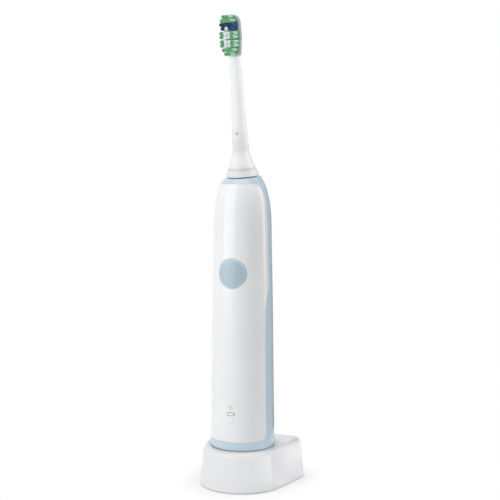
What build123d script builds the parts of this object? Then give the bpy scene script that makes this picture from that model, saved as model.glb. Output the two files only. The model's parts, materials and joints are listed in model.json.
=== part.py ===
from build123d import *
import math
import os

# Sonic toothbrush standing in its charger, in millimetres, +Z up, front towards -Y.
# The origin is on the table under the upright axis of the handle.

# Charger housing: a round front that widens to a rounded back
charger_height = 22.0
charger_front_radius = 23.8
charger_corner_radius = 9.6
charger_corner_side = 19.0
charger_corner_back = 21.4
charger_draft = 5.4
charger_wall = 2.0
charger_top_edge = 3.4
charger_lift = 0.6
boss_radius = 3.2
ceiling_rib_depth = 4.0
ceiling_rib_thickness = 1.4
ceiling_rib_angle = 45.0

# Charging post and the parts inside it
post_radius = 5.2
post_height = 11.0
post_wall = 1.0
post_edge = 1.2
ferrite_radius = 2.3
bobbin_wall = 0.5
bobbin_flange = 0.8
coil_margin = 0.4

# Charger base plate, feet, screws and board
plate_thickness = 2.0
plate_fit = 0.15
foot_height = 1.0
foot_pad_radius = 4.0
foot_spread = 50.0
foot_inset = 6.0
screw_head_radius = 2.4
screw_head_height = 1.0
screw_shank_radius = 1.2
screw_length = 9.0
screw_slot_width = 0.8
screw_slot_length = 3.0
screw_slot_depth = 0.5
screw_fit = 0.1
charger_board_length = 17.0
charger_board_width = 26.0
charger_board_thickness = 1.4
charger_board_height = 8.0
capacitor_radius = 3.0
capacitor_length = 12.0

# Cord gland in the back wall
gland_radius = 3.4
gland_bore = 1.8
gland_flange_radius = 4.4
gland_flange = 1.2
gland_length = 6.0
gland_height = 8.0

# Upright body of the handle: radii, heights above the charger and distances below the collar ring
handle_wall = 1.7
foot_radius = 17.9
foot_edge = 0.7
hip_height = 33.0
hip_radius = 17.4
grip_height = 86.0
grip_radius = 16.75
chest_below_ring = 32.0
chest_radius = 16.15
shoulder_below_ring = 14.0
shoulder_radius = 15.05
collar_below_ring = 4.3
collar_radius = 12.45
cavity_below_ring = 10.5

# Leaning top of the handle
lean_angle = 9.5
ring_height = 150.0
ring_forward = 0.3
ring_radius = 10.0
ring_edge = 0.4

# White front panel, as seen from the side
panel_bottom = 4.9
panel_back_low = 6.35
panel_low_height = 78.0
panel_back_high = 2.5
panel_high_height = 90.0
panel_back_top = 3.2
panel_step_radius = 16.0
panel_top_corner = 6.0
panel_bottom_corner = 5.0
panel_gap = 0.08

# Power button and its switch
button_below_ring = 52.75
button_radius = 8.0
button_clearance = 0.18
button_proud = 0.25
button_edge = 0.9
button_hole_edge = 0.3
button_travel = 0.6
flange_radius = 9.2
flange_front = 11.0
flange_thickness = 1.0
plunger_radius = 1.5
switch_size = 6.0
switch_body = 1.6
switch_nub_radius = 1.7
switch_nub = 0.4
switch_gap = 0.05

# Charge light
light_height = 24.0
light_radius = 1.2
light_fit = 0.05
led_size = 1.6
led_depth = 0.9
led_gap = 0.4

# End cap, its seal and the charging coil
cap_recess = 0.8
cap_thickness = 4.0
cap_fit = 0.15
socket_clearance = 0.5
socket_end_clearance = 1.6
socket_wall = 1.0
seal_section = 0.8
seal_squeeze = 0.05
charging_coil_fit = 0.1
charging_coil_depth = 2.8
charging_coil_length = 8.5

# Battery, chassis and board
battery_radius = 7.1
battery_length = 50.0
battery_back = 3.5
battery_fit = 0.3
battery_start = 24.0
cell_shoulder = 0.6
cell_tip_radius = 2.6
chassis_wall = 1.8
chassis_floor = 2.0
chassis_mouth = 11.0
shell_rib_first = 36.0
shell_rib_pitch = 24.0
shell_rib_count = 3
shell_rib_thickness = 1.4
shell_rib_fit = 0.1
contact_width = 5.0
contact_thickness = 0.3
board_width = 18.0
board_thickness = 1.2
board_front = 7.0
board_start = 17.5
board_below_ring = 47.0
rail_width = 3.0
rail_depth = 7.0
board_screw_inset = 1.2
board_screw_end = 12.0
board_screw_radius = 0.9
board_screw_head = 1.6
board_screw_head_height = 1.0
board_screw_length = 5.0
board_screw_slot_width = 0.5
board_screw_slot_length = 2.0
chip_size = 5.0
chip_depth = 1.0
chip_below_switch = 19.25

# Drive, measured down the leaning shaft from the collar ring
shaft_radius = 2.25
shaft_flat = 1.7
shaft_up = 24.0
shaft_down = 42.0
shaft_tip_edge = 0.4
running_clearance = 0.05
bush_wall = 1.9
bush_length = 4.0
bush_fit = 0.05
seal_depth = 0.8
seal_length = 2.6
motor_top = 13.5
motor_length = 29.5
motor_end_plate = 2.0
motor_inside = 6.2
motor_wall = 1.0
motor_front = 11.6
yoke_radius = 4.4
yoke_flat = 2.9
yoke_top = 19.5
yoke_length = 15.0
magnet_thickness = 1.6
magnet_width = 3.6
magnet_split = 0.4
magnet_length = 13.0
air_gap = 0.9
core_length = 12.0
core_back = 2.0
core_leg = 2.2
core_middle_leg = 3.2
core_fit = 0.1
coil_fit = 0.2
coil_thickness = 1.5

# Brush head, measured up the shaft from the collar ring
head_gap = 0.6
skirt_radius = 9.3
neck_collar_top = 4.4
neck_collar_radius = 7.6
neck_collar_wall = 1.6
clip_fit = 0.05
clip_tube_radius = 3.1
clip_tube_top = 20.0
clip_flange_top = 3.8
grip_clearance = 0.05
shaft_end_clearance = 1.0
flare_height = 9.0
flare_radius = 5.9
neck_low_height = 15.5
neck_low_radius = 4.45
neck_high_height = 60.0
neck_high_radius = 3.05
neck_end_half_width = 3.15
neck_end_half_depth = 1.9
head_length = 87.3
plate_length = 23.5
plate_top_radius = 4.4
plate_middle_radius = 4.7
plate_middle_drop = 11.8
plate_low_radius = 4.0
plate_front = 2.0
plate_back = 1.3
plate_back_edge = 1.2
plate_front_edge = 0.3

# Bristle tufts
tuft_radius = 0.8
tuft_tip_radius = 0.93
tuft_sink = 1.2
tuft_lengths = {"crest": 8.8, "blue": 8.0, "green": 8.2, "clear": 7.8}

# Rows of tufts: distance below the tip of the head, pitch, and kinds from left to right
tuft_rows = [
    (1.3, 1.9, ["crest", "crest"]),
    (3.3, 2.0, ["crest", "crest", "crest"]),
    (5.3, 1.9, ["blue", "blue", "blue", "blue"]),
    (7.3, 2.2, ["blue", "clear", "blue"]),
    (9.8, 2.0, ["green", "clear", "clear", "green"]),
    (11.7, 2.0, ["green", "clear", "clear", "green"]),
    (14.2, 2.0, ["green", "clear", "clear", "green"]),
    (16.1, 2.0, ["green", "clear", "clear", "green"]),
    (18.4, 2.1, ["green", "green", "green"]),
    (20.5, 1.9, ["green", "green"]),
]

# Places worked out from the values above
foot_level = charger_height
chest_height = ring_height - chest_below_ring
shoulder_height = ring_height - shoulder_below_ring
collar_height = ring_height - collar_below_ring
cavity_top = ring_height - cavity_below_ring
button_height = ring_height - button_below_ring
chip_height = button_height - chip_below_switch
board_end = ring_height - board_below_ring
post_inner = post_radius - post_wall
socket_radius = post_radius + socket_clearance
socket_outer = socket_radius + socket_wall
socket_top = post_height + socket_end_clearance
cap_top = socket_top + socket_wall
lean = math.radians(lean_angle)
shaft_plane = Plane(
    origin=(0, -ring_forward, foot_level + ring_height),
    x_dir=(1, 0, 0),
    z_dir=(0, -math.sin(lean), math.cos(lean)),
)
shaft_place = shaft_plane.location
board_back = board_front - board_thickness
flange_back = flange_front - flange_thickness
switch_front = board_front + switch_body
plunger_end = switch_front + switch_nub + switch_gap + button_travel
magnet_front = yoke_flat + magnet_thickness
pole_front = magnet_front + air_gap
core_half_width = motor_inside - core_fit
plate_middle_height = head_length - plate_middle_drop
plate_low_height = head_length - plate_length + plate_low_radius


def up(height):
    """Move by a height above the table."""
    return Pos(0, 0, height)


def above_charger(height):
    """Height above the table of a point given above the charger's top."""
    return foot_level + height


def turned(points):
    """Solid turned about Z from straight-edged points (radius, height)."""
    outline = make_face(Polyline(*points, close=True))
    return revolve(Plane.XZ * outline, Axis.Z)


def ring_solid(outer, inner, bottom, top):
    """Plain tube about Z."""
    return turned([(inner, bottom), (outer, bottom), (outer, top), (inner, top)])


def rod(radius, bottom, top):
    """Plain round bar about Z."""
    return up(bottom) * extrude(Circle(radius), amount=top - bottom)


def block(width, depth, height, place):
    """Box centred on a place."""
    return Pos(*place) * Box(width, depth, height)


def from_front(shape, near, far):
    """Extrude a front-view sketch (x, height) between two distances in front of the axis."""
    plane = Plane(origin=(0, -near, 0), x_dir=(1, 0, 0), z_dir=(0, -1, 0))
    return extrude(plane * shape, amount=far - near)


def cross(length, width):
    """Face of a cross recess in a screw head."""
    return Rectangle(length, width) + Rectangle(width, length)


def belt(circles):
    """Face drawn tight round circles (x, y, radius) listed anticlockwise."""
    following = circles[1:] + circles[:1]
    normals = []
    for here, there in zip(circles, following):
        across = there[0] - here[0]
        along = there[1] - here[1]
        heading = math.atan2(along, across)
        normals.append(heading - math.acos((here[2] - there[2]) / math.hypot(across, along)))
    arcs = []
    for (x, y, radius), start, end in zip(circles, normals[-1:] + normals[:-1], normals):
        sweep = (end - start) % (2 * math.pi)
        angles = [start, start + sweep / 2, start + sweep]
        arcs.append(ThreePointArc(*[(x + radius * math.cos(a), y + radius * math.sin(a)) for a in angles]))
    lines = [Line(here @ 1, there @ 0) for here, there in zip(arcs, arcs[1:] + arcs[:1])]
    return make_face(arcs + lines)


# Charger
def charger_outline(inset):
    """Plan of the charger at the table, drawn in by an inset."""
    corner = charger_corner_radius - inset
    return belt([
        (0, 0, charger_front_radius - inset),
        (charger_corner_side, charger_corner_back, corner),
        (-charger_corner_side, charger_corner_back, corner),
    ])


def boss_places():
    """Screw bosses: one near the front, two in the back corners."""
    front = (0, -charger_front_radius + charger_wall + 2 * boss_radius)
    side = charger_corner_side
    back = charger_corner_back + boss_radius
    return [front, (-side, back), (side, back)]


def foot_places():
    """Rubber pads: one under the handle's axis, two at the front and two at the back."""
    reach = charger_front_radius - charger_wall - foot_inset
    spread = math.radians(foot_spread)
    front = -reach * math.cos(spread)
    back = charger_corner_back - 2 * foot_pad_radius
    side = reach * math.sin(spread)
    front_pair = [(-side, front), (side, front)]
    back_pair = [(-charger_corner_side, back), (charger_corner_side, back)]
    return [(0, 0)] + front_pair + back_pair


plate_bottom = foot_height
plate_top = plate_bottom + plate_thickness
charger_ceiling = charger_height - charger_wall
charger_back_face = charger_corner_back + charger_corner_radius
charger_board_middle = post_inner + 2 * charger_wall + charger_board_length / 2


def ceiling_ribs(hollow):
    """Crossed ribs that stiffen the housing's ceiling, kept inside its hollow."""
    height = charger_ceiling - ceiling_rib_depth / 2
    span = 4 * charger_front_radius
    bar = block(ceiling_rib_thickness, span, ceiling_rib_depth, (0, 0, height))
    crossed = Rot(0, 0, ceiling_rib_angle) * bar + Rot(0, 0, -ceiling_rib_angle) * bar
    return crossed & hollow


def make_charger_housing():
    """Shell with the charging post on top, ribs under its ceiling and three screw bosses."""
    foot = up(charger_lift) * charger_outline(0)
    body = extrude(foot, charger_height - charger_lift, taper=charger_draft)
    top_edges = body.faces().sort_by(Axis.Z)[-1].edges()
    body = fillet(top_edges, charger_top_edge)
    hollow = extrude(charger_outline(charger_wall), charger_ceiling, taper=charger_draft)
    post = rod(post_radius, charger_ceiling, charger_height + post_height)
    post = fillet(post.faces().sort_by(Axis.Z)[-1].edges(), post_edge)
    bosses = [Pos(*place) * rod(boss_radius, plate_top, charger_ceiling) for place in boss_places()]
    pilot = rod(screw_shank_radius + screw_fit, plate_top - plate_fit, plate_top + screw_length)
    pilots = [Pos(*place) * pilot for place in boss_places()]
    body = body - hollow + ceiling_ribs(hollow) + post + bosses
    body -= rod(post_inner, 0, charger_height + post_height - post_wall)
    return body - pilots - gland_passage()


def gland_passage():
    """Round hole through the back wall for the cord gland."""
    hole = Cylinder(gland_radius, 4 * charger_wall, rotation=(90, 0, 0))
    return Pos(0, charger_back_face - charger_wall, gland_height) * hole


def make_charger_base_plate():
    """Closing plate with screw seats and two pillars under the board."""
    plate = up(plate_bottom) * extrude(charger_outline(charger_wall + plate_fit), plate_thickness,
                                       taper=charger_draft)
    holes = [Pos(*place) * rod(screw_shank_radius + screw_fit, 0, 2 * plate_top) for place in boss_places()]
    head = screw_head_radius + screw_fit
    seats = [Pos(*place) * rod(head, 0, plate_bottom + screw_head_height) for place in boss_places()]
    side = charger_board_width / 2 - boss_radius
    pillar = rod(boss_radius / 2, plate_bottom, charger_board_height - charger_board_thickness)
    pillars = [Pos(x, charger_board_middle) * pillar for x in (-side, side)]
    return plate - holes - seats + pillars


def make_charger_feet():
    pad = rod(foot_pad_radius, 0, plate_bottom)
    return [Pos(*place) * pad for place in foot_places()]


def make_charger_screws():
    top = plate_bottom + screw_head_height
    head = rod(screw_head_radius, plate_bottom, top)
    shank = rod(screw_shank_radius, top, plate_bottom + screw_length)
    slot = up(plate_bottom) * extrude(cross(screw_slot_length, screw_slot_width), screw_slot_depth)
    return [Pos(*place) * (head + shank - slot) for place in boss_places()]


bobbin_bottom = plate_top + 2 * bobbin_flange
bobbin_top = charger_height + post_height - post_wall - coil_margin
bobbin_outer = ferrite_radius + clip_fit + bobbin_wall


def make_post_core():
    return rod(ferrite_radius, plate_top, bobbin_top)


def make_primary_bobbin():
    inner = ferrite_radius + clip_fit
    flange = post_inner - bush_fit
    tube = ring_solid(bobbin_outer, inner, plate_top, bobbin_top)
    low = ring_solid(flange, inner, plate_top, bobbin_bottom)
    high = ring_solid(flange, inner, bobbin_top - bobbin_flange, bobbin_top)
    return tube + low + high


def make_primary_coil():
    return ring_solid(post_inner - coil_margin, bobbin_outer, bobbin_bottom, bobbin_top - bobbin_flange)


def make_charger_board():
    height = charger_board_height - charger_board_thickness / 2
    return block(charger_board_width, charger_board_length, charger_board_thickness,
                 (0, charger_board_middle, height))


def make_charger_capacitor():
    can = Cylinder(capacitor_radius, capacitor_length, rotation=(0, 90, 0))
    return Pos(0, charger_board_middle, charger_board_height + capacitor_radius) * can


def make_cord_gland():
    """Grommet with a round passage for the mains cord."""
    sleeve = gland_radius - bush_fit
    profile = [
        (gland_bore, -gland_length / 2),
        (sleeve, -gland_length / 2),
        (sleeve, gland_length / 2 - gland_flange),
        (gland_flange_radius, gland_length / 2 - gland_flange),
        (gland_flange_radius - gland_flange / 2, gland_length / 2),
        (gland_bore, gland_length / 2),
    ]
    gland = Rot(-90, 0, 0) * turned(profile)
    return Pos(0, charger_back_face - charger_wall / 2, gland_height) * gland


# Handle shells
def handle_points(inset):
    """Radius and height of the upright body, drawn in by an inset."""
    return [
        (foot_radius - inset, above_charger(0)),
        (hip_radius - inset, above_charger(hip_height)),
        (grip_radius - inset, above_charger(grip_height)),
        (chest_radius - inset, above_charger(chest_height)),
        (shoulder_radius - inset, above_charger(shoulder_height)),
        (collar_radius - inset, above_charger(collar_height)),
    ]


def handle_body(inset):
    """Upright body turned about Z, from its foot to the collar."""
    points = handle_points(inset)
    curve = Spline(*points)
    outline = curve + Polyline(points[-1], (0, points[-1][1]), (0, points[0][1]), points[0])
    return revolve(Plane.XZ * make_face(outline), Axis.Z)


def collar_body():
    """Leaning shoulder from the upright body to the collar ring."""
    low = up(above_charger(collar_height)) * Circle(collar_radius)
    shoulder = loft([low, shaft_place * Circle(ring_radius)], ruled=True)
    return fillet(shoulder.faces().sort_by(Axis.Z)[-1].edges(), ring_edge)


def handle_outside(proud):
    """Whole outer form of the handle."""
    return handle_body(-proud) + collar_body()


def handle_cavity():
    """Space inside the shells, open at the foot."""
    space = handle_body(handle_wall)
    keep = rod(2 * foot_radius, foot_level, above_charger(cavity_top))
    nose = shaft_place * rod(bush_outer + bush_fit, -motor_top, head_gap)
    return (space & keep) + nose


bush_outer = shaft_radius + running_clearance + bush_wall


def panel_region(grow):
    """Block that cuts the front panel out of the shells, drawn from the side and grown all round."""
    bottom_level = above_charger(panel_bottom) - grow
    top_level = above_charger(collar_height) + grow
    bottom = (grow - panel_back_low, bottom_level)
    low = (grow - panel_back_low, above_charger(panel_low_height))
    high = (grow - panel_back_high, above_charger(panel_high_height))
    top = (grow - panel_back_top, top_level)
    far = -2 * foot_radius
    face = make_face(Polyline(bottom, low, high, top, (far, top_level), (far, bottom_level), close=True))
    for step in (low, high):
        corner = face.vertices().sort_by_distance(step)[0]
        face = fillet(corner, panel_step_radius)
    corner = face.vertices().sort_by_distance(bottom)[0]
    face = fillet(corner, panel_bottom_corner)
    corner = face.vertices().sort_by_distance(top)[0]
    face = fillet(corner, panel_top_corner)
    return extrude(Plane.YZ * face, 2 * foot_radius, both=True)


def button_hole(radius):
    """Round bar from the middle of the handle out through the button's place."""
    circle = Pos(0, above_charger(button_height)) * Circle(radius)
    return from_front(circle, 0, 2 * foot_radius)


def light_hole(radius):
    circle = Pos(0, above_charger(light_height)) * Circle(radius)
    return from_front(circle, 0, 2 * foot_radius)


def make_shell():
    body = handle_outside(0)
    foot = body.faces().sort_by(Axis.Z)[0].edges()
    return fillet(foot, foot_edge) - handle_cavity()


def make_front_shell(shell):
    """White panel with an eased hole for the button and a small one for the light."""
    panel = shell & panel_region(0)
    panel -= button_hole(button_radius + button_clearance)
    outside = (0, -2 * foot_radius, above_charger(button_height))
    panel = fillet(panel.edges().sort_by_distance(outside)[0], button_hole_edge)
    return panel - light_hole(light_radius + light_fit)


def shell_ribs():
    """Half-round ribs in the back shell that cradle the chassis."""
    space = handle_body(handle_wall)
    chassis = battery_radius + battery_fit + chassis_wall + shell_rib_fit
    tall = above_charger(ring_height)
    front = block(4 * foot_radius, 4 * foot_radius, 2 * tall, (0, battery_back - 2 * foot_radius, 0))
    room = Pos(0, battery_back) * rod(chassis, 0, tall) + front
    ribs = []
    for k in range(shell_rib_count):
        bottom = above_charger(shell_rib_first + k * shell_rib_pitch)
        ribs.append((space & rod(2 * foot_radius, bottom, bottom + shell_rib_thickness)) - room)
    return ribs


def make_back_shell(shell):
    """Blue shell with the foot band and the collar, ribbed inside."""
    return shell - panel_region(panel_gap) + shell_ribs()


def make_power_button():
    cap = button_hole(button_radius) & handle_body(-button_proud)
    cap -= block(4 * foot_radius, 2 * flange_back, 4 * button_radius, (0, 0, above_charger(button_height)))
    front = cap.faces().sort_by(Axis.Y)[0]
    cap = fillet(front.edges(), button_edge)
    place = Pos(0, above_charger(button_height))
    flange = from_front(place * Circle(flange_radius), flange_back, flange_front)
    plunger = from_front(place * Circle(plunger_radius), plunger_end, flange_back)
    return cap + flange + plunger


def make_light_window():
    pipe = light_hole(light_radius) & handle_body(0)
    inner = 2 * (board_front + led_depth + led_gap)
    return pipe - block(4 * foot_radius, inner, 4 * light_radius, (0, 0, above_charger(light_height)))


# Handle inside
def make_end_cap():
    bottom = above_charger(cap_recess)
    top = bottom + cap_thickness
    outer = foot_radius - handle_wall - cap_fit
    groove = outer - 2 * seal_section + seal_squeeze
    middle = (bottom + top) / 2
    half = seal_section + seal_squeeze
    profile = [
        (socket_radius, bottom),
        (outer, bottom),
        (outer, middle - half),
        (groove, middle - half),
        (groove, middle + half),
        (outer, middle + half),
        (outer, top),
        (socket_outer, top),
        (socket_outer, above_charger(cap_top)),
        (0, above_charger(cap_top)),
        (0, above_charger(socket_top)),
        (socket_radius, above_charger(socket_top)),
    ]
    return turned(profile)


def make_end_cap_seal():
    height = above_charger(cap_recess) + cap_thickness / 2
    outer = foot_radius - handle_wall - cap_fit
    major = outer - seal_section + seal_squeeze
    return up(height) * Torus(major, seal_section)


def make_charging_coil():
    inner = socket_outer + charging_coil_fit
    bottom = above_charger(cap_recess) + cap_thickness
    return ring_solid(inner + charging_coil_depth, inner, bottom, bottom + charging_coil_length)


battery_bottom = above_charger(battery_start)
battery_top = battery_bottom + battery_length
chassis_bottom = above_charger(cap_top)


def make_chassis():
    """Trough round the battery with two board rails, cut slanting under the motor."""
    inner = battery_radius + battery_fit
    outer = inner + chassis_wall
    tall = above_charger(ring_height)
    place = Pos(0, battery_back)
    trough = place * ring_solid(outer, inner, chassis_bottom, tall)
    mouth = block(chassis_mouth, 2 * outer, 4 * tall, (0, -outer, 0))
    trough -= mouth
    rail_side = board_width / 2 - rail_width / 2
    rail_height = above_charger(board_end) - chassis_bottom
    for side in (-rail_side, rail_side):
        centre = (side, -board_back + rail_depth / 2, chassis_bottom + rail_height / 2)
        trough += block(rail_width, rail_depth, rail_height, centre)
    for bottom in (chassis_bottom, battery_top + contact_thickness):
        wall = place * rod(outer - chassis_wall / 2, bottom, bottom + chassis_floor)
        trough += wall - mouth
    pocket = place * rod(inner, battery_bottom - contact_thickness, battery_top + contact_thickness)
    above_motor = shaft_place * rod(4 * foot_radius, -motor_bottom, ring_height)
    trough = trough - pocket - above_motor
    hole = Circle(board_screw_radius + screw_fit)
    for spot in board_screw_places():
        trough -= from_front(Pos(*spot) * hole, board_back - board_screw_length, board_back)
    return trough


def board_screw_places():
    side = board_width / 2 - board_screw_inset - board_screw_head / 4
    low = above_charger(board_start + board_screw_end)
    high = above_charger(board_end - board_screw_end)
    return [(x, z) for z in (low, high) for x in (-side, side)]


def make_battery_cell():
    inner = battery_radius - cell_shoulder
    profile = [
        (0, battery_bottom),
        (battery_radius, battery_bottom),
        (battery_radius, battery_top - cell_shoulder),
        (inner, battery_top - cell_shoulder),
        (inner, battery_top - 2 * cell_shoulder),
        (cell_tip_radius, battery_top - 2 * cell_shoulder),
        (cell_tip_radius, battery_top),
        (0, battery_top),
    ]
    return Pos(0, battery_back) * turned(profile)


def make_battery_contacts():
    """One welded strip at each end of the cell, reaching the board."""
    reach = battery_back + board_back
    middle = (battery_back - board_back) / 2
    strips = []
    for bottom in (battery_bottom - contact_thickness, battery_top):
        place = (0, middle, bottom + contact_thickness / 2)
        strips.append(block(contact_width, reach, contact_thickness, place))
    return strips


def make_circuit_board():
    middle = above_charger((board_start + board_end) / 2)
    outline = Pos(0, middle) * Rectangle(board_width, board_end - board_start)
    outline = fillet(outline.vertices(), board_screw_inset)
    board = from_front(outline, board_back, board_front)
    for place in board_screw_places():
        board -= from_front(Pos(*place) * Circle(board_screw_radius + screw_fit), 0, 2 * board_front)
    return board


def make_board_screws():
    face = board_front + board_screw_head_height
    head = from_front(Circle(board_screw_head), board_front, face)
    shank = from_front(Circle(board_screw_radius), board_front - board_screw_length, board_front)
    slot = cross(board_screw_slot_length, board_screw_slot_width)
    screw = head + shank - from_front(slot, face - screw_slot_depth, face)
    return [Pos(x, 0, height) * screw for x, height in board_screw_places()]


def make_tact_switch():
    place = Pos(0, above_charger(button_height))
    outline = RectangleRounded(switch_size, switch_size, switch_nub)
    body = from_front(place * outline, board_front, switch_front)
    nub = from_front(place * Circle(switch_nub_radius), switch_front, switch_front + switch_nub)
    return body + nub


def make_indicator_led():
    place = Pos(0, above_charger(light_height))
    return from_front(place * Rectangle(led_size, led_size), board_front, board_front + led_depth)


def make_control_chip():
    place = Pos(0, above_charger(chip_height))
    return from_front(place * Rectangle(chip_size, chip_size), board_front, board_front + chip_depth)


# Drive, drawn about the shaft and then placed on its leaning axis
motor_bottom = motor_top + motor_length


def keyed_section(radius, flat):
    """Circle with a flat towards the front."""
    cut = Pos(0, -flat - radius) * Rectangle(4 * radius, 2 * radius)
    return Circle(radius) - cut


def make_drive_shaft():
    round_part = rod(shaft_radius, -shaft_down, head_gap)
    keyed = up(head_gap) * extrude(keyed_section(shaft_radius, shaft_flat), shaft_up - head_gap)
    tip = keyed.faces().sort_by(Axis.Z)[-1].edges()
    return shaft_place * (round_part + chamfer(tip, shaft_tip_edge))


def bush(bottom):
    inner = shaft_radius + running_clearance
    return shaft_place * ring_solid(bush_outer, inner, bottom, bottom + bush_length)


def make_upper_bush():
    return bush(-seal_depth - seal_length - bush_length)


def make_lower_bush():
    return bush(-motor_bottom)


def make_shaft_seal():
    inner = shaft_radius + running_clearance
    lip = running_clearance * 4
    profile = [
        (inner, -seal_depth - seal_length / 2),
        (inner + lip, -seal_depth - seal_length),
        (bush_outer, -seal_depth - seal_length),
        (bush_outer, -seal_depth),
        (inner + lip, -seal_depth),
    ]
    return shaft_place * turned(profile)


def make_motor_frame():
    """Channel open to the front, with an end plate at each end of the rotor."""
    outer = motor_inside + motor_wall
    outside = Circle(outer) + Pos(0, -motor_front / 2) * Rectangle(2 * outer, motor_front)
    inside = Circle(motor_inside) + Pos(0, -motor_front) * Rectangle(2 * motor_inside, 2 * motor_front)
    frame = up(-motor_bottom) * extrude(outside, motor_length)
    frame -= up(-motor_bottom + bush_length) * extrude(inside, motor_length - bush_length - motor_end_plate)
    seat_bottom = -motor_bottom - motor_end_plate
    seat_top = -motor_bottom + bush_length + motor_end_plate
    frame -= rod(bush_outer + bush_fit, seat_bottom, seat_top)
    frame -= rod(shaft_radius + 4 * running_clearance, -motor_top - 2 * motor_end_plate, 0)
    return shaft_place * frame


def make_rotor_yoke():
    section = Circle(yoke_radius)
    section -= Pos(0, -yoke_flat - yoke_radius) * Rectangle(4 * yoke_radius, 2 * yoke_radius)
    section -= Circle(shaft_radius)
    return shaft_place * up(-yoke_top - yoke_length) * extrude(section, yoke_length)


def make_rotor_magnets():
    """Two flat magnets side by side on the yoke's flat."""
    height = -yoke_top - yoke_length / 2
    side = magnet_split / 2 + magnet_width / 2
    depth = -yoke_flat - magnet_thickness / 2
    size = (magnet_width, magnet_thickness, magnet_length)
    return [shaft_place * block(*size, (x, depth, height)) for x in (-side, side)]


core_front = motor_front - core_fit
core_leg_end = core_front - core_back


def make_stator_core():
    """E-shaped core whose three legs face the magnets."""
    back = Pos(0, -core_front + core_back / 2) * Rectangle(2 * core_half_width, core_back)
    leg_depth = core_leg_end - pole_front
    leg_middle = -(core_leg_end + pole_front) / 2
    section = back + Pos(0, leg_middle) * Rectangle(core_middle_leg, leg_depth)
    for side in (-1, 1):
        place = Pos(side * (core_half_width - core_leg / 2), leg_middle)
        section += place * Rectangle(core_leg, leg_depth)
    bottom = -yoke_top - yoke_length / 2 - core_length / 2
    return shaft_place * up(bottom) * extrude(section, core_length)


def make_drive_coil():
    """Winding round the middle leg of the core."""
    inner_width = core_middle_leg + 2 * coil_fit
    inner_length = core_length + 2 * coil_fit
    outer_width = inner_width + 2 * coil_thickness
    outer_length = inner_length + 2 * coil_thickness
    ring = RectangleRounded(outer_width, outer_length, coil_thickness)
    ring -= Rectangle(inner_width, inner_length)
    place = Pos(0, -yoke_top - yoke_length / 2)
    return shaft_place * from_front(place * ring, pole_front + coil_fit, core_leg_end - coil_fit)


# Brush head, drawn about the shaft and then placed on its leaning axis
def make_neck_collar():
    inner_low = skirt_radius - neck_collar_wall
    inner_high = neck_collar_radius - neck_collar_wall
    profile = [
        (inner_low, head_gap),
        (skirt_radius, head_gap),
        (neck_collar_radius, neck_collar_top),
        (inner_high, neck_collar_top),
    ]
    return shaft_place * turned(profile)


def make_shaft_clip():
    """Sleeve with a flat in its bore that keys the head to the shaft."""
    flange = neck_collar_radius - neck_collar_wall - clip_fit
    profile = [
        (0, head_gap),
        (flange, head_gap),
        (flange, clip_flange_top),
        (clip_tube_radius, clip_flange_top),
        (clip_tube_radius, clip_tube_top),
        (0, clip_tube_top),
    ]
    bore = keyed_section(shaft_radius + grip_clearance, shaft_flat + grip_clearance)
    return shaft_place * (turned(profile) - extrude(bore, shaft_up))


def neck_body():
    """Turned neck with a flared skirt, flattened where it runs into the head."""
    foot = (neck_collar_radius, neck_collar_top)
    low = (neck_low_radius, neck_low_height)
    high = (neck_high_radius, neck_high_height)
    taper = (high[0] - low[0], high[1] - low[1])
    skirt = (neck_collar_radius - skirt_radius, neck_collar_top - head_gap)
    curve = Spline(foot, (flare_radius, flare_height), low, tangents=(skirt, taper))
    rest = Polyline(low, high, (0, neck_high_height), (0, neck_collar_top), foot)
    turned_part = revolve(Plane.XZ * make_face(curve + rest), Axis.Z)
    flat_end = Ellipse(neck_end_half_width, neck_end_half_depth)
    sections = [up(neck_high_height) * Circle(neck_high_radius), up(plate_low_height) * flat_end]
    return turned_part + loft(sections)


def head_plate():
    """Rounded plate that carries the tufts."""
    top = (0, head_length - plate_top_radius, plate_top_radius)
    middle = (0, plate_middle_height, plate_middle_radius)
    low = (0, plate_low_height, plate_low_radius)
    outline = belt([low, middle, top, middle])
    plate = from_front(outline, -plate_back, plate_front)
    plate = fillet(plate.faces().sort_by(Axis.Y)[-1].edges(), plate_back_edge)
    return fillet(plate.faces().sort_by(Axis.Y)[0].edges(), plate_front_edge)


def make_brush_neck():
    neck = neck_body() + head_plate()
    neck -= rod(clip_tube_radius + clip_fit, 0, clip_tube_top + clip_fit)
    neck -= rod(shaft_radius + grip_clearance, 0, shaft_up + shaft_end_clearance)
    for x, height, kind in tuft_places():
        neck -= from_front(Pos(x, height) * Circle(tuft_radius), plate_front - tuft_sink, 2 * plate_front)
    return shaft_place * neck


def tuft_places():
    """Place across, height on the head and kind of every tuft."""
    places = []
    for drop, pitch, kinds in tuft_rows:
        for k, kind in enumerate(kinds):
            steps = k - (len(kinds) - 1) / 2
            places.append((steps * pitch, head_length - drop, kind))
    return places


def tufts(wanted):
    """Separate tufts of the wanted kinds, sunk in their holes and spreading to the tip."""
    solids = []
    for x, height, kind in tuft_places():
        if kind in wanted:
            sunk = from_front(Pos(x, height) * Circle(tuft_radius), plate_front - tuft_sink, plate_front)
            cone = Cone(tuft_radius, tuft_tip_radius, tuft_lengths[kind],
                        align=(Align.CENTER, Align.CENTER, Align.MIN))
            stand = Pos(x, -plate_front, height) * Rot(90, 0, 0) * cone
            solids.append(shaft_place * (sunk + stand))
    return solids


def write(name, shape):
    """Write one node; a list becomes a group of separate solids."""
    if isinstance(shape, list):
        shape = Compound(children=shape)
    export_step(shape, os.path.join("parts", name + ".step"))


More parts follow.
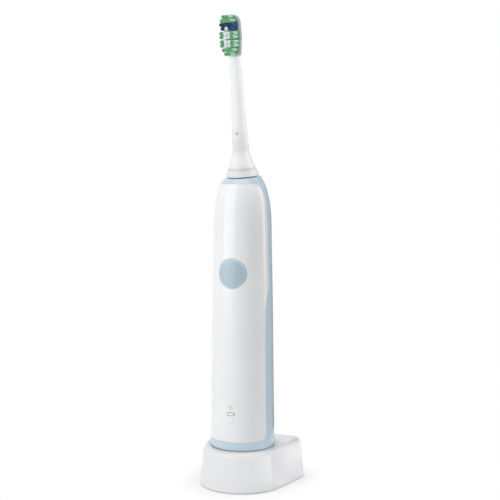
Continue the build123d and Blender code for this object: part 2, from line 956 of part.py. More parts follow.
os.makedirs("parts", exist_ok=True)
shell = make_shell()
nodes = {
    "charger_housing": make_charger_housing(),
    "charger_base_plate": make_charger_base_plate(),
    "charger_feet": make_charger_feet(),
    "charger_screws": make_charger_screws(),
    "post_core": make_post_core(),
    "primary_bobbin": make_primary_bobbin(),
    "primary_coil": make_primary_coil(),
    "charger_board": make_charger_board(),
    "charger_capacitor": make_charger_capacitor(),
    "cord_gland": make_cord_gland(),
    "front_shell": make_front_shell(shell),
    "back_shell": make_back_shell(shell),
    "light_window": make_light_window(),
    "end_cap": make_end_cap(),
    "end_cap_seal": make_end_cap_seal(),
    "charging_coil": make_charging_coil(),
    "chassis": make_chassis(),
    "battery_cell": make_battery_cell(),
    "battery_contacts": make_battery_contacts(),
    "circuit_board": make_circuit_board(),
    "board_screws": make_board_screws(),
    "tact_switch": make_tact_switch(),
    "indicator_led": make_indicator_led(),
    "control_chip": make_control_chip(),
    "motor_frame": make_motor_frame(),
    "upper_bush": make_upper_bush(),
    "lower_bush": make_lower_bush(),
    "shaft_seal": make_shaft_seal(),
    "stator_core": make_stator_core(),
    "drive_coil": make_drive_coil(),
    "power_button": make_power_button(),
    "drive_shaft": make_drive_shaft(),
    "rotor_yoke": make_rotor_yoke(),
    "rotor_magnets": make_rotor_magnets(),
    "brush_neck": make_brush_neck(),
    "neck_collar": make_neck_collar(),
    "shaft_clip": make_shaft_clip(),
    "tufts_green": tufts(["crest", "green"]),
    "tufts_blue": tufts(["blue"]),
    "tufts_clear": tufts(["clear"]),
}
for node_name, node_shape in nodes.items():
    write(node_name, node_shape)
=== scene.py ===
import json
import math
import random

import bmesh
import bpy
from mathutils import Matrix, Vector
from mathutils.bvhtree import BVHTree


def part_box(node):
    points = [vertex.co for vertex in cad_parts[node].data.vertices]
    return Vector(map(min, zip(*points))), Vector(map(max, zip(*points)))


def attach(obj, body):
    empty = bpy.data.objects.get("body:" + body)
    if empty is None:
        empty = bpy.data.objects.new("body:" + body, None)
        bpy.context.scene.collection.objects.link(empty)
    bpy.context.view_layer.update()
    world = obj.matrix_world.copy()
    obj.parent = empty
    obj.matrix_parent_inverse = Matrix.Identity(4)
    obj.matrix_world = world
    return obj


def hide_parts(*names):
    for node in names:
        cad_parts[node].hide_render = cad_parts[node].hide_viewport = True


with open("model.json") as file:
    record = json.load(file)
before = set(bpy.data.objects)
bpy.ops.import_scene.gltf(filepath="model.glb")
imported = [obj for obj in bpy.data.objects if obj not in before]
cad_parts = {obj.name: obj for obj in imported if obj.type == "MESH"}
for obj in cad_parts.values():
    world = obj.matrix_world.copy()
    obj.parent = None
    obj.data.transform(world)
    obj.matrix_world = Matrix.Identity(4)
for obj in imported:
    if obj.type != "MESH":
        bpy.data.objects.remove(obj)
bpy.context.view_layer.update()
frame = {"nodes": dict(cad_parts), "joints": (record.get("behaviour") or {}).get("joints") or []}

# Sonic toothbrush in its charger: surface finishes, fine pieces, floor, light and camera
nodes = frame["nodes"]
joints = {joint["name"]: joint for joint in frame["joints"]}
shaft = Vector(joints["brush_head_pull"]["axis"])
brush_front = Vector((0, -shaft.z, shaft.y))

# Camera, in metres and degrees
view_azimuth = 22
view_distance = 0.5505
eye_height = 0.1698
aim_height = 0.1311
aim_aside = 0.0041
lens_length = 71.5
sensor_width = 36
clip_start = 0.01

# Soft boxes: side is the azimuth from the camera's, angles in degrees, sizes in metres, level 1 is white
ambient_level = 0.24
power_per_area = 4
wide_open = 180
soft_boxes = {
    "key": dict(side=-56, elevation=16, distance=0.9, width=0.8, height=0.9, level=1.75),
    "fill": dict(side=102, elevation=16, distance=0.9, width=0.4, height=0.9, level=2.5),
    "top": dict(side=-20, elevation=82, distance=0.9, width=0.7, height=0.7, level=1.9),
    "back": dict(side=185, elevation=30, distance=1.1, width=0.5, height=0.7, level=1.0),
}

# Narrow soft boxes: each aims at one height and opens by a few degrees
narrow_boxes = {
    "low": dict(side=70, elevation=5, height=0.02, level=0.24, target=0.012, opening=2),
    "high": dict(side=60, elevation=6, height=0.04, level=0.22, target=0.186, opening=4),
    "head": dict(side=52, elevation=6, height=0.04, level=0.2, target=0.236, opening=4),
}
narrow_box_distance = 0.8
narrow_box_width = 0.3

# Floor
floor_half = 4.0
floor_white = 0.9
floor_cloud_size = 0.05
floor_cloud_shade = 0.99
floor_near_blend = 0.25
floor_shade_reach = 0.014
floor_shade_depth = 0.45

# Black card that darkens the right edge in reflections, between two sides from the camera's azimuth
card_start = 98
card_end = 170
card_steps = 12
card_distance = 0.42
card_height = 0.5
card_near = 0.13
card_lift = 0.0004
card_felt_size = 0.002
card_felt_dark = 0.02
card_felt_light = 0.03

# Bristle filaments
filaments_per_tuft = 95
filament_radius = 0.0001
filament_sides = 6
filament_root = 0.0004
filament_jitter = 0.00004
filament_length_spread = 0.00016
filament_tip_round = 0.00005
filament_tip_ease = 0.3
filament_tip_share = 0.72
# Facings over which the tip ends of the filaments take painted shade
filament_tip_shade_facing = (0.2, 0.6)
filament_flare = 0.00016
filament_dome_power = 4
filament_shade_floor = 0.1
filament_seed = 11
golden_angle = math.pi * (3 - math.sqrt(5))
weld_distance = 1e-6
level_tolerance = 1e-5
sort_digits = 6

# Shade on the charger close to the handle
contact_reach = 0.008
contact_shade_colour = (0.36, 0.37, 0.4)
contact_heights = (0.016, 0.021)
contact_openness = (0.4, 1.0)

# Button face
# Painted light: the rim of the button face is drawn paler, from this share of its radius
button_rim_light_start = 0.82
button_rim_light_colour = (0.6, 0.7, 0.78, 1)
button_pillow = 0.00015
button_pillow_power = 4.0
seal_reach = 0.001
seal_steps = 96
seal_section = [(-0.0003, 0.00012), (0.00015, 0.00012), (0.00015, 0.0005), (-0.0003, 0.00017)]

# Sleeve of the battery: share of its height under the pale band, and how sharply the colours meet
sleeve_band_share = 0.78
sleeve_band_edge = 0.0001

# Rim of the brush plate: painted shade, tinted with the bristles' green as painted reflected light
plate_margin = 0.002
plate_rim_shade_colour = (0.38, 0.5, 0.43, 1)
plate_rim_shade_facing = (-0.8, -0.2)

# Printed marks
ink_proud = 0.00002
ink_sunk = 0.00004
drop_clearance = 0.01
battery_mark_centre = (-0.0001, 0.0424)
battery_mark_size = (0.0040, 0.0020)
battery_mark_corner = 0.0005
battery_mark_line = 0.0003
battery_mark_nub = (0.0004, 0.0009)
power_mark_radius = 0.0017
power_mark_line = 0.00032
power_mark_gap = 40
power_mark_bar = 0.0018
size_dot_radius = 0.0007
size_dot_height = 0.19485
size_dot_steps = 24
full_turn = 360
straight_up = 90

# Blender's wave texture repeats every 2 pi / 20 units
wave_phase = 20

pick = random.Random(filament_seed)


# Node helpers


def add(tree, kind, inputs=None, **properties):
    """New shader node; each input gets a constant, or a link when given a socket."""
    made = tree.nodes.new(kind)
    for key, value in properties.items():
        setattr(made, key, value)
    for key, value in (inputs or {}).items():
        if isinstance(value, bpy.types.NodeSocket):
            tree.links.new(value, made.inputs[key])
        else:
            made.inputs[key].default_value = value
    return made


def begin(name, **constants):
    """Material with a Principled shader whose constant sockets are set."""
    material = bpy.data.materials.new(name)
    material.use_nodes = True
    tree = material.node_tree
    shader = tree.nodes["Principled BSDF"]
    for key, value in constants.items():
        shader.inputs[key.replace("_", " ")].default_value = value
    place = add(tree, "ShaderNodeTexCoord").outputs["Object"]
    return material, tree, shader, place


def noise(tree, place, size, detail=3.0, roughness=0.5):
    """Noise whose blotches measure about size metres."""
    inputs = {"Vector": place, "Scale": 1 / size, "Detail": detail, "Roughness": roughness}
    return add(tree, "ShaderNodeTexNoise", inputs).outputs["Fac"]


def stretched(tree, place, scale):
    """Coordinates scaled along the three axes."""
    return add(tree, "ShaderNodeMapping", {"Vector": place, "Scale": scale}).outputs["Vector"]


def bands(tree, place, period, direction, profile="SIN", distortion=0.0):
    """Parallel bands with the given period in metres."""
    inputs = {"Vector": place, "Scale": 2 * math.pi / (wave_phase * period), "Distortion": distortion}
    made = add(tree, "ShaderNodeTexWave", inputs, bands_direction=direction, wave_profile=profile)
    return made.outputs["Fac"]


def spread(tree, value, low, high, start=0.3, end=0.7):
    """Value between start and end carried over to low and high."""
    inputs = {"Value": value, "From Min": start, "From Max": end, "To Min": low, "To Max": high}
    return add(tree, "ShaderNodeMapRange", inputs).outputs["Result"]


def tint(tree, value, dark, light, start=0.3, end=0.7):
    """Colour ramp from dark to light over a value."""
    ramp = add(tree, "ShaderNodeValToRGB", {"Fac": value})
    ramp.color_ramp.elements[0].position = start
    ramp.color_ramp.elements[1].position = end
    ramp.color_ramp.elements[0].color = (*dark, 1)
    ramp.color_ramp.elements[1].color = (*light, 1)
    return ramp.outputs["Color"]


def mixed(tree, factor, first, second, blend="MIX"):
    """Two colours mixed by a factor."""
    made = add(tree, "ShaderNodeMix", data_type="RGBA", blend_type=blend)
    for socket, value in zip((made.inputs[0], made.inputs[6], made.inputs[7]), (factor, first, second)):
        if isinstance(value, bpy.types.NodeSocket):
            tree.links.new(value, socket)
        else:
            socket.default_value = value
    return made.outputs[2]


def bump(tree, height, depth, under=None):
    """Surface relief of the given depth in metres."""
    inputs = {"Height": height, "Distance": depth, "Strength": 1.0}
    if under:
        inputs["Normal"] = under
    return add(tree, "ShaderNodeBump", inputs).outputs["Normal"]


def product(tree, first, second):
    """Two values multiplied."""
    return add(tree, "ShaderNodeMath", {0: first, 1: second}, operation="MULTIPLY").outputs["Value"]


def along(tree, vector, direction):
    """Length of a vector along a direction."""
    made = add(tree, "ShaderNodeVectorMath", {0: vector, 1: direction}, operation="DOT_PRODUCT")
    return made.outputs["Value"]


def reopened(material):
    """Tree, Principled shader and present base colour of a finished material."""
    tree = material.node_tree
    shader = tree.nodes["Principled BSDF"]
    return tree, shader, shader.inputs["Base Color"].links[0].from_socket


def shaded(colour, factor):
    """Colour made lighter or darker by a factor."""
    return tuple(min(1, channel * factor) for channel in colour)


# Materials


def moulded(name, colour, gloss, grain_size, grain_depth, variation=0.02, **constants):
    """Injection-moulded plastic: faint clouding, uneven gloss and a fine grain."""
    material, tree, shader, place = begin(name, **constants)
    cloud = noise(tree, place, size=0.02)
    colours = tint(tree, cloud, shaded(colour, 1 - variation), shaded(colour, 1 + variation / 2))
    film = noise(tree, place, size=0.006, detail=5.0, roughness=0.6)
    grain = noise(tree, place, grain_size, detail=2.0)
    tree.links.new(colours, shader.inputs["Base Color"])
    tree.links.new(spread(tree, film, gloss * 0.85, gloss * 1.2), shader.inputs["Roughness"])
    tree.links.new(bump(tree, grain, grain_depth), shader.inputs["Normal"])
    return material


def rubber(name, colour):
    """Matt moulded rubber with a dusty grain."""
    material, tree, shader, place = begin(name, Specular_IOR_Level=0.3)
    dust = noise(tree, place, size=0.0012, detail=6.0, roughness=0.7)
    colours = tint(tree, dust, shaded(colour, 0.8), shaded(colour, 1.25))
    tree.links.new(colours, shader.inputs["Base Color"])
    tree.links.new(spread(tree, dust, 0.6, 0.85), shader.inputs["Roughness"])
    grain = noise(tree, place, size=0.0003)
    tree.links.new(bump(tree, grain, depth=0.00002), shader.inputs["Normal"])
    return material


def brushed(name, colour, scale, gloss):
    """Metal with drawn lines; the scale flattens the noise along the drawing direction."""
    material, tree, shader, place = begin(name, Metallic=1.0)
    lines = noise(tree, stretched(tree, place, scale), size=0.0006, detail=4.0, roughness=0.6)
    cloud = noise(tree, place, size=0.004)
    base = tint(tree, cloud, shaded(colour, 0.85), colour)
    scratches = spread(tree, lines, 0.0, 0.35)
    tree.links.new(mixed(tree, scratches, base, (*shaded(colour, 0.6), 1)), shader.inputs["Base Color"])
    tree.links.new(spread(tree, lines, gloss * 0.75, gloss * 1.4), shader.inputs["Roughness"])
    tree.links.new(bump(tree, lines, depth=0.000008), shader.inputs["Normal"])
    return material


def winding(name, colour, wire, direction):
    """Enamelled copper wire laid turn beside turn, with painted shade in the grooves between turns."""
    material, tree, shader, place = begin(name, Metallic=0.85, Coat_Weight=0.6, Coat_Roughness=0.12)
    turns = bands(tree, place, wire, direction, distortion=0.15)
    enamel = tint(tree, noise(tree, place, size=0.003), shaded(colour, 0.8), shaded(colour, 1.15))
    # Painted shade in the grooves between turns
    groove_shade = spread(tree, turns, 0.75, 0.0, start=0.0, end=0.35)
    tree.links.new(mixed(tree, groove_shade, enamel, (*shaded(colour, 0.18), 1)), shader.inputs["Base Color"])
    tree.links.new(spread(tree, turns, 0.45, 0.25), shader.inputs["Roughness"])
    tree.links.new(bump(tree, turns, depth=wire / 3), shader.inputs["Normal"])
    return material


def laminated(name, colour, sheet, direction):
    """Stack of punched steel sheets with dark joints."""
    material, tree, shader, place = begin(name, Metallic=0.9)
    sheets = bands(tree, place, sheet, direction, "SAW")
    oxide = noise(tree, place, size=0.001, detail=5.0, roughness=0.65)
    steel = tint(tree, oxide, shaded(colour, 0.7), colour)
    seams = spread(tree, sheets, 0.8, 0.0, start=0.0, end=0.2)
    tree.links.new(mixed(tree, seams, steel, (0.03, 0.03, 0.035, 1)), shader.inputs["Base Color"])
    tree.links.new(spread(tree, oxide, 0.35, 0.6), shader.inputs["Roughness"])
    tree.links.new(bump(tree, sheets, depth=0.00003), shader.inputs["Normal"])
    return material


def circuit(name):
    """Solder-masked board with raised tracks and a woven ground."""
    material, tree, shader, place = begin(name, Coat_Weight=0.3, Coat_Roughness=0.15)
    across = bands(tree, place, 0.0021, "X", "SAW", distortion=0.4)
    upward = bands(tree, place, 0.0034, "Z", "SAW", distortion=0.4)
    tracks = add(tree, "ShaderNodeMath", {0: across, 1: upward}, operation="MINIMUM").outputs["Value"]
    copper = spread(tree, tracks, 1.0, 0.0, start=0.06, end=0.12)
    weave = noise(tree, place, size=0.0008)
    ground = tint(tree, weave, (0.008, 0.09, 0.045), (0.014, 0.13, 0.065))
    tree.links.new(mixed(tree, copper, ground, (0.05, 0.26, 0.12, 1)), shader.inputs["Base Color"])
    tree.links.new(spread(tree, weave, 0.3, 0.5), shader.inputs["Roughness"])
    tree.links.new(bump(tree, copper, depth=0.00003), shader.inputs["Normal"])
    return material


def sintered(name, colour, metallic):
    """Pressed powder: speckled and slightly pitted."""
    material, tree, shader, place = begin(name, Metallic=metallic)
    speckle = noise(tree, place, size=0.0004, detail=6.0, roughness=0.75)
    colours = tint(tree, speckle, shaded(colour, 0.55), shaded(colour, 1.2))
    tree.links.new(colours, shader.inputs["Base Color"])
    tree.links.new(spread(tree, speckle, 0.4, 0.65), shader.inputs["Roughness"])
    tree.links.new(bump(tree, speckle, depth=0.00003), shader.inputs["Normal"])
    return material


def cell_sleeve(name):
    """Shrink sleeve of the battery, two-toned with faint shrink folds."""
    material, tree, shader, place = begin(name, Coat_Weight=0.4, Coat_Roughness=0.2)
    low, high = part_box("battery_cell")
    height = add(tree, "ShaderNodeSeparateXYZ", {"Vector": place}).outputs["Z"]
    band_start = low.z + (high.z - low.z) * sleeve_band_share
    upper = spread(tree, height, 0.0, 1.0, band_start - sleeve_band_edge, band_start + sleeve_band_edge)
    folds = noise(tree, stretched(tree, place, (1, 1, 0.15)), size=0.0015, detail=4.0)
    green = tint(tree, folds, (0.02, 0.16, 0.1), (0.03, 0.22, 0.13))
    pale = tint(tree, folds, (0.6, 0.62, 0.6), (0.72, 0.73, 0.7))
    tree.links.new(mixed(tree, upper, green, pale), shader.inputs["Base Color"])
    tree.links.new(spread(tree, folds, 0.25, 0.42), shader.inputs["Roughness"])
    tree.links.new(bump(tree, folds, depth=0.00004), shader.inputs["Normal"])
    return material


def glowing(name, node, dim, bright, strength):
    """Diffusing window over a lit charge light: brightest in the middle."""
    material, tree, shader, place = begin(name, Emission_Strength=strength, Coat_Weight=0.3)
    low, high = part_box(node)
    middle = (low + high) / 2
    apart = add(tree, "ShaderNodeVectorMath", {0: place, 1: middle}, operation="DISTANCE").outputs["Value"]
    reach = (high.x - low.x) / 2
    closeness = spread(tree, apart, 1.0, 0.0, start=0.0, end=reach * 1.3)
    colours = tint(tree, closeness, dim, bright, start=0.0, end=1.0)
    frost = noise(tree, place, size=0.0003)
    tree.links.new(colours, shader.inputs["Base Color"])
    tree.links.new(colours, shader.inputs["Emission Color"])
    tree.links.new(spread(tree, frost, 0.2, 0.4), shader.inputs["Roughness"])
    tree.links.new(bump(tree, frost, depth=0.00001), shader.inputs["Normal"])
    return material


def bristle(name, dark, light, tip, gloss, see_through):
    """Nylon filaments: each one its own tone, with painted shade on the tip ends, and a faint drawn
    texture.
    """
    material, tree, shader, place = begin(name, IOR=1.53)
    island = add(tree, "ShaderNodeNewGeometry").outputs["Random Per Island"]
    drawn = noise(tree, place, size=0.0005)
    factors = {0: island, 1: drawn, 2: filament_shade_floor}
    shade = add(tree, "ShaderNodeMath", factors, operation="MULTIPLY_ADD").outputs["Value"]
    normal = add(tree, "ShaderNodeNewGeometry").outputs["Normal"]
    tip_shade = spread(tree, along(tree, normal, brush_front), 0.0, 1.0, *filament_tip_shade_facing)
    colours = tint(tree, shade, dark, light, start=0.1)
    # Painted shade: tip ends that face the front take the darker tip colour
    colours = mixed(tree, tip_shade, colours, (*tip, 1), "MULTIPLY")
    tree.links.new(colours, shader.inputs["Base Color"])
    tree.links.new(spread(tree, drawn, gloss * 0.8, gloss * 1.3), shader.inputs["Roughness"])
    through = add(tree, "ShaderNodeBsdfTranslucent", {"Color": colours}).outputs["BSDF"]
    both = add(tree, "ShaderNodeMixShader", {0: see_through, 1: shader.outputs["BSDF"], 2: through})
    tree.links.new(both.outputs["Shader"], tree.nodes["Material Output"].inputs["Surface"])
    return material


def ink(name, colour):
    """Pad-printed ink, slightly uneven."""
    material, tree, shader, place = begin(name, Specular_IOR_Level=0.4)
    cover = noise(tree, place, size=0.0002)
    colours = tint(tree, cover, shaded(colour, 0.85), shaded(colour, 1.15))
    tree.links.new(colours, shader.inputs["Base Color"])
    tree.links.new(spread(tree, cover, 0.3, 0.5), shader.inputs["Roughness"])
    return material


# Moulded plastics give their colour, gloss, grain size and grain depth, the last two in metres
looks = {
    "white_gloss": moulded("white_gloss", (0.88, 0.888, 0.895), 0.16, 0.0012, 0.0000004),
    "blue_gloss": moulded("blue_gloss", (0.58, 0.715, 0.815), 0.18, 0.0012, 0.0000004),
    "button_blue": moulded("button_blue", (0.43, 0.55, 0.635), 0.24, 0.0012, 0.0000006),
    "charger_white": moulded("charger_white", (0.821, 0.827, 0.843), 0.34, 0.0003, 0.000003),
    "neck_white": moulded("neck_white", (0.89, 0.89, 0.912), 0.26, 0.001, 0.0000006,
                          Specular_IOR_Level=0.3, Subsurface_Weight=0.6,
                          Subsurface_Radius=(1, 1, 1), Subsurface_Scale=0.004),
    "plain_plastic": moulded("plain_plastic", (0.62, 0.6, 0.54), 0.5, 0.0003, 0.00001, variation=0.08),
    "black_plastic": moulded("black_plastic", (0.02, 0.021, 0.023), 0.42, 0.0002, 0.00001, variation=0.3),
    "board_green": circuit("board_green"),
    "rubber_grey": rubber("rubber_grey", (0.12, 0.125, 0.13)),
    "steel": brushed("steel", (0.62, 0.62, 0.63), scale=(1, 1, 0.06), gloss=0.22),
    "nickel": brushed("nickel", (0.66, 0.64, 0.58), scale=(0.06, 1, 1), gloss=0.26),
    "magnet": brushed("magnet", (0.7, 0.69, 0.66), scale=(1, 1, 1), gloss=0.16),
    "ferrite": sintered("ferrite", (0.045, 0.043, 0.045), metallic=0.0),
    "core_steel": laminated("core_steel", (0.42, 0.42, 0.44), sheet=0.0005, direction="Y"),
    "copper": winding("copper", (0.72, 0.27, 0.1), wire=0.00035, direction="Z"),
    "bronze": sintered("bronze", (0.62, 0.4, 0.18), metallic=0.9),
    "cell_wrap": cell_sleeve("cell_wrap"),
    "clear_window": glowing("clear_window", "light_window", (0.66, 0.68, 0.5), (0.5, 0.54, 0.26),
                            strength=0.12),
    "led": glowing("led", "indicator_led", (0.5, 0.6, 0.2), (0.7, 0.9, 0.2), strength=1.0),
    # The third colour of each bristle is painted shade on its tip ends
    "bristle_green": bristle("bristle_green", (0.38, 0.82, 0.52), (0.7, 1.0, 0.78), (0.29, 0.52, 0.37),
                             gloss=0.3, see_through=0.05),
    "bristle_blue": bristle("bristle_blue", (0.03, 0.085, 0.31), (0.07, 0.18, 0.58), (0.25, 0.42, 0.32),
                            gloss=0.22, see_through=0.1),
    "bristle_clear": bristle("bristle_clear", (0.88, 1.0, 1.0), (0.96, 1.0, 1.0), (1.0, 1.0, 1.0),
                             gloss=0.2, see_through=0.02),
    "seal_blue": rubber("seal_blue", (0.6, 0.7, 0.78)),
    "print_grey": ink("print_grey", (0.3, 0.3, 0.31)),
    "print_blue": ink("print_blue", (0.3, 0.45, 0.56)),
}


def paint_plate_rim_shade(material):
    """Painted shade and painted reflection of the bristles' green on the rim and front of the plate."""
    tree, shader, plain = reopened(material)
    plate_level = min(corner.dot(shaft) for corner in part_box("tufts_green")) - plate_margin
    place = add(tree, "ShaderNodeTexCoord").outputs["Object"]
    normal = add(tree, "ShaderNodeNewGeometry").outputs["Normal"]
    turned = spread(tree, along(tree, normal, brush_front), 0.0, 1.0, *plate_rim_shade_facing)
    raised = spread(tree, along(tree, place, shaft), 0.0, 1.0, plate_level, plate_level + plate_margin)
    # Painted shade on the plate's rim and front
    painted_rim = product(tree, turned, raised)
    tree.links.new(mixed(tree, painted_rim, plain, plate_rim_shade_colour), shader.inputs["Base Color"])


def shade_contacts(material):
    """Painted shade: darker close to other pieces, on the upper part only."""
    tree, shader, plain = reopened(material)
    openness = add(tree, "ShaderNodeAmbientOcclusion", {"Distance": contact_reach}).outputs["AO"]
    place = add(tree, "ShaderNodeTexCoord").outputs["Object"]
    height = add(tree, "ShaderNodeSeparateXYZ", {"Vector": place}).outputs["Z"]
    closed = spread(tree, openness, 1.0, 0.0, *contact_openness)
    # Painted shade where the charger meets the handle
    crease_shade = product(tree, closed, spread(tree, height, 0.0, 1.0, *contact_heights))
    tree.links.new(mixed(tree, crease_shade, plain, (*contact_shade_colour, 1)), shader.inputs["Base Color"])


def button_cap():
    """Middle and radius of the part of the power button that shows in front of its flange."""
    low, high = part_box("power_button")
    middle = (low + high) / 2
    front = [vertex.co for vertex in nodes["power_button"].data.vertices if vertex.co.y < middle.y]
    return middle, max(math.hypot(place.x - middle.x, place.z - middle.z) for place in front)


def pillow_button(material):
    """Button face that rounds off softly, with painted light making its rim paler."""
    tree, shader, plain = reopened(material)
    grain = shader.inputs["Normal"].links[0].from_socket
    middle, radius = button_cap()
    place = add(tree, "ShaderNodeTexCoord").outputs["Object"]
    offset = add(tree, "ShaderNodeVectorMath", {0: place, 1: middle}, operation="SUBTRACT")
    flat = stretched(tree, offset.outputs["Vector"], (1 / radius, 0, 1 / radius))
    apart = add(tree, "ShaderNodeVectorMath", {0: flat}, operation="LENGTH").outputs["Value"]
    fall = add(tree, "ShaderNodeMath", {0: apart, 1: button_pillow_power}, operation="POWER")
    drop = spread(tree, fall.outputs["Value"], 1.0, 0.0, start=0.0, end=1.0)
    # Painted light on the rim of the button face
    painted_rim = spread(tree, apart, 0.0, 1.0, button_rim_light_start, 1.0)
    tree.links.new(mixed(tree, painted_rim, plain, button_rim_light_colour), shader.inputs["Base Color"])
    tree.links.new(bump(tree, drop, button_pillow, grain), shader.inputs["Normal"])


shade_contacts(looks["charger_white"])
pillow_button(looks["button_blue"])
paint_plate_rim_shade(looks["neck_white"])
for node in nodes.values():
    node.data.materials[0] = looks[node.data.materials[0].name.split(".")[0]]


# Mesh helpers


def finish_mesh(shape, name, material, smooth=True):
    """Object made from a bmesh, with its material."""
    bmesh.ops.recalc_face_normals(shape, faces=shape.faces)
    mesh = bpy.data.meshes.new(name)
    shape.to_mesh(mesh)
    shape.free()
    for face in mesh.polygons:
        face.use_smooth = smooth
    mesh.materials.append(material)
    piece = bpy.data.objects.new(name, mesh)
    bpy.context.scene.collection.objects.link(piece)
    return piece


def middle_of(places):
    """Mean of some places."""
    return sum(places, Vector()) / len(places)


def loose_parts(mesh):
    """Vertex places of each separate solid in a mesh, in the same order in every run."""
    shape = bmesh.new()
    shape.from_mesh(mesh)
    bmesh.ops.remove_doubles(shape, verts=shape.verts, dist=weld_distance)
    seen = set()
    parts = []
    for first in shape.verts:
        if first in seen:
            continue
        seen.add(first)
        front = [first]
        part = []
        while front:
            vert = front.pop()
            part.append(vert.co.copy())
            near = [edge.other_vert(vert) for edge in vert.link_edges]
            front.extend(other for other in near if other not in seen)
            seen.update(near)
        parts.append(part)
    shape.free()
    return sorted(parts, key=lambda part: tuple(round(c, sort_digits) for c in middle_of(part)))


# Bristles


def end_of(part, direction, level):
    """Middle and radius of the vertices of a tuft that lie at a level along its direction."""
    ring = [place for place in part if abs(place.dot(direction) - level) < level_tolerance]
    middle = middle_of(ring)
    return middle, max((place - middle).length for place in ring)


def filament(shape, root, tip, radius, across):
    """One end-rounded nylon filament."""
    way = (tip - root).normalized()
    side = way.cross(across).normalized()
    other = way.cross(side)
    rings = []
    shoulder = tip - way * filament_tip_round
    brow = tip - way * filament_tip_round * filament_tip_ease
    stations = [(root, 1.0), (root.lerp(tip, 0.5), 1.0), (shoulder, 1.0), (brow, filament_tip_share)]
    for middle, share in stations:
        ring = []
        for k in range(filament_sides):
            turn = 2 * math.pi * k / filament_sides
            out = side * math.cos(turn) + other * math.sin(turn)
            ring.append(shape.verts.new(middle + out * radius * share))
        rings.append(ring)
    peak = shape.verts.new(tip)
    for low, high in zip(rings, rings[1:]):
        for k in range(filament_sides):
            n = (k + 1) % filament_sides
            shape.faces.new((low[k], low[n], high[n], high[k]))
    for k in range(filament_sides):
        shape.faces.new((rings[-1][k], rings[-1][(k + 1) % filament_sides], peak))
    shape.faces.new(list(reversed(rings[0])))


def filament_bundles(node_name, name, slot):
    """Every tuft of a CAD node as a bundle of filaments in the same space."""
    across = Vector((1, 0, 0))
    shape = bmesh.new()
    for part in loose_parts(nodes[node_name].data):
        levels = [place.dot(brush_front) for place in part]
        root, root_radius = end_of(part, brush_front, min(levels))
        tip, tip_radius = end_of(part, brush_front, max(levels))
        root = root + brush_front * filament_root
        for k in range(filaments_per_tuft):
            reach = math.sqrt((k + 0.5) / filaments_per_tuft)
            out = across * math.cos(k * golden_angle) + shaft * math.sin(k * golden_angle)
            lean = across * pick.uniform(-1, 1) + shaft * pick.uniform(-1, 1)
            start = root + out * reach * (root_radius - filament_radius)
            end = tip + out * reach * (tip_radius + filament_flare - filament_radius)
            end += lean * filament_jitter
            dome = reach ** filament_dome_power * filament_tip_round
            end -= brush_front * (pick.random() * filament_length_spread + dome)
            filament(shape, start, end, filament_radius, across)
    piece = finish_mesh(shape, name, looks[slot])
    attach(piece, "brush_head")
    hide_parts(node_name)


filament_bundles("tufts_green", "bristles_green", "bristle_green")
filament_bundles("tufts_blue", "bristles_blue", "bristle_blue")
filament_bundles("tufts_clear", "bristles_clear", "bristle_clear")


# Printed marks


def surface_under(node_name):
    """Function that drops a point (x, z) from the front onto a CAD node's surface."""
    mesh = nodes[node_name].data
    tree = BVHTree.FromPolygons([v.co for v in mesh.vertices], [p.vertices for p in mesh.polygons])
    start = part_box(node_name)[0].y - drop_clearance

    def drop(point):
        place, normal, _, _ = tree.ray_cast(Vector((point[0], start, point[1])), Vector((0, 1, 0)))
        return place, normal if normal.y < 0 else -normal

    return drop


def ink_layers(shape, drop, outline):
    """Upper and lower vertices of the ink along an outline."""
    landed = [drop(point) for point in outline]
    upper = [shape.verts.new(place + normal * ink_proud) for place, normal in landed]
    lower = [shape.verts.new(place - normal * ink_sunk) for place, normal in landed]
    return upper, lower


def print_patch(shape, drop, outline):
    """Thin layer of ink inside an outline."""
    upper, lower = ink_layers(shape, drop, outline)
    for k in range(len(outline)):
        shape.faces.new((upper[k - 1], upper[k], lower[k], lower[k - 1]))
    shape.faces.new(upper)
    shape.faces.new(lower[::-1])


def print_strip(shape, drop, first_edge, second_edge, closed):
    """Thin layer of ink between two edges with equal counts of points."""
    first = ink_layers(shape, drop, first_edge)
    second = ink_layers(shape, drop, second_edge)
    ring = (first[0], second[0], second[1], first[1])
    for k in range(0 if closed else 1, len(first_edge)):
        for here, there in zip(ring, ring[1:] + ring[:1]):
            shape.faces.new((here[k - 1], here[k], there[k], there[k - 1]))
    if not closed:
        for k in (0, -1):
            shape.faces.new([side[k] for side in ring])


def refined(outline, parts=6):
    """Closed outline with each side split into equal parts."""
    points = []
    for here, there in zip(outline, outline[1:] + outline[:1]):
        for k in range(parts):
            share = k / parts
            points.append(tuple(a + (b - a) * share for a, b in zip(here, there)))
    return points


def rounded_outline(centre, size, corner, steps=6):
    """Points round a rectangle with round corners."""
    points = []
    for quarter, (sx, sz) in enumerate(((1, 1), (-1, 1), (-1, -1), (1, -1))):
        for step in range(steps + 1):
            turn = math.pi / 2 * (quarter + step / steps)
            points.append((centre[0] + sx * (size[0] / 2 - corner) + corner * math.cos(turn),
                           centre[1] + sz * (size[1] / 2 - corner) + corner * math.sin(turn)))
    return points


def arc(centre, radius, start, end, steps=40):
    """Points along an arc, angles in degrees."""
    turns = [math.radians(start + (end - start) * step / steps) for step in range(steps + 1)]
    return [(centre[0] + radius * math.cos(t), centre[1] + radius * math.sin(t)) for t in turns]


def battery_mark():
    """Outline of a battery under the charge light."""
    drop = surface_under("front_shell")
    shape = bmesh.new()
    inner_size = tuple(length - 2 * battery_mark_line for length in battery_mark_size)
    outer = rounded_outline(battery_mark_centre, battery_mark_size, battery_mark_corner)
    inner = rounded_outline(battery_mark_centre, inner_size, battery_mark_corner - battery_mark_line / 2)
    print_strip(shape, drop, refined(outer), refined(inner), closed=True)
    aside = (battery_mark_size[0] + battery_mark_nub[0]) / 2
    nub_centre = (battery_mark_centre[0] + aside, battery_mark_centre[1])
    print_patch(shape, drop, rounded_outline(nub_centre, battery_mark_nub, battery_mark_nub[0] / 4))
    piece = finish_mesh(shape, "battery_mark", looks["print_grey"], smooth=False)
    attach(piece, "handle")


